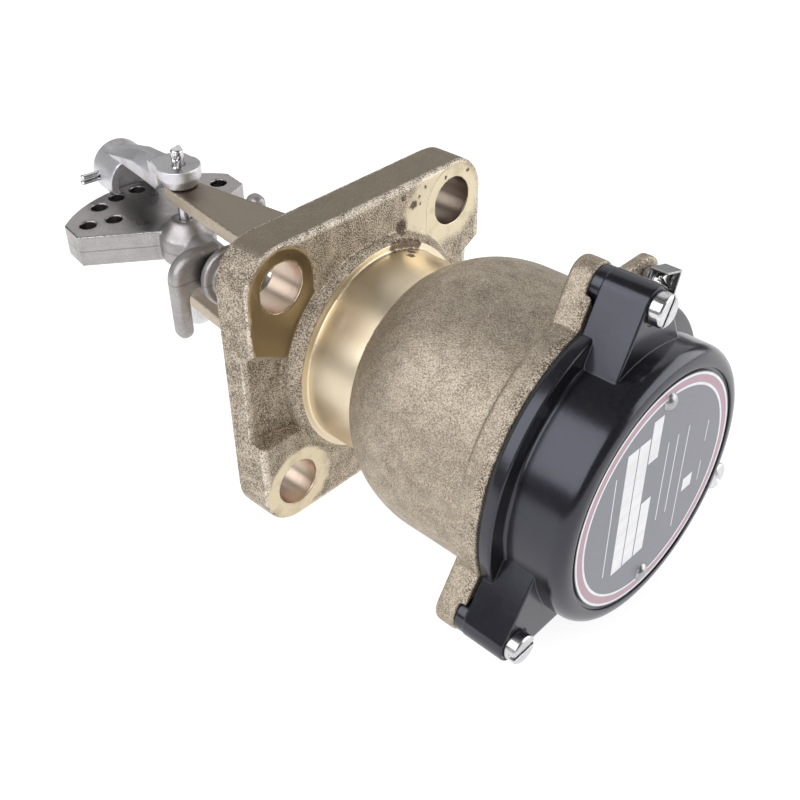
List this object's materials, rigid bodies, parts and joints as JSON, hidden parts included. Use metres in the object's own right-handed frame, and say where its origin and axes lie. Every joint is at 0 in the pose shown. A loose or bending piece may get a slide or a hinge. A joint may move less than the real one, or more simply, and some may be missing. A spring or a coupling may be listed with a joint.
{
  "type": "liquid level switch",
  "caption": "Flange-mounted float level switch: square cast flange with turned neck and bowl, black screwed cover with a round plate, pivoted magnet arm and lever on the wet side.",
  "frame": {"origin": "centre of the square flange on its mounting face, on the axis of the neck and cover", "axes": "+X along the main axis from the wet side to the cover, +Z along the pivot pin to its split pin, +Y to the cable entry"},
  "size_m": [0.2398, 0.0984, 0.102],
  "materials": {
    "gunmetal": "grit-blasted casting with bright machined faces",
    "black_paint": "satin black paint",
    "gasket": "dark sheet rubber",
    "label": "printed plate, grey field with ring border",
    "plated_steel": "bright nickel plate",
    "stainless": "fine blasted and brushed stainless steel",
    "magnet": "dull sintered magnet",
    "moulding": "black thermoset moulding",
    "contact_brass": "bright strip"
  },
  "bodies": {
    "housing": {"body_casting": "gunmetal", "cover": "black_paint", "cover_gasket": "gasket", "label_plate": "label", "label_rivets": "plated_steel", "cover_screws": "plated_steel", "earth_nut": "plated_steel", "earth_washers": "plated_steel", "earth_clamp": "plated_steel", "earth_screw": "plated_steel", "pivot_pin": "stainless", "pivot_split_pin": "stainless", "mechanism_base": "moulding", "mechanism_screws": "plated_steel", "rocker_pin": "stainless", "terminal_block": "moulding", "fixed_contacts": "contact_brass", "terminal_screws": "plated_steel"},
    "arm": {"magnet_arm": "stainless", "float_magnet": "magnet"},
    "lever": {"float_lever": "stainless", "rod_split_pin": "stainless"},
    "rocker": {"magnet_rocker": "moulding", "switch_magnet": "magnet", "moving_contacts": "contact_brass"}
  },
  "joints": [
    {"name": "arm_pivot", "type": "hinge", "parent": "housing", "child": "arm", "pos_m": [-0.077, 0, 0], "axis": [0, 0, 1], "range_deg": [0, 18]},
    {"name": "lever_pivot", "type": "hinge", "parent": "housing", "child": "lever", "pos_m": [-0.077, 0, 0], "axis": [0, 0, 1], "range_deg": [-36, 54]},
    {"name": "rocker_pivot", "type": "hinge", "parent": "housing", "child": "rocker", "pos_m": [0.05, 0, 0], "axis": [0, 0, 1], "range_deg": [0, 14]}
  ],
  "couplings": [
    {"joint": "rocker_pivot", "follows": "arm_pivot", "ratio": 0.77778}
  ]
}
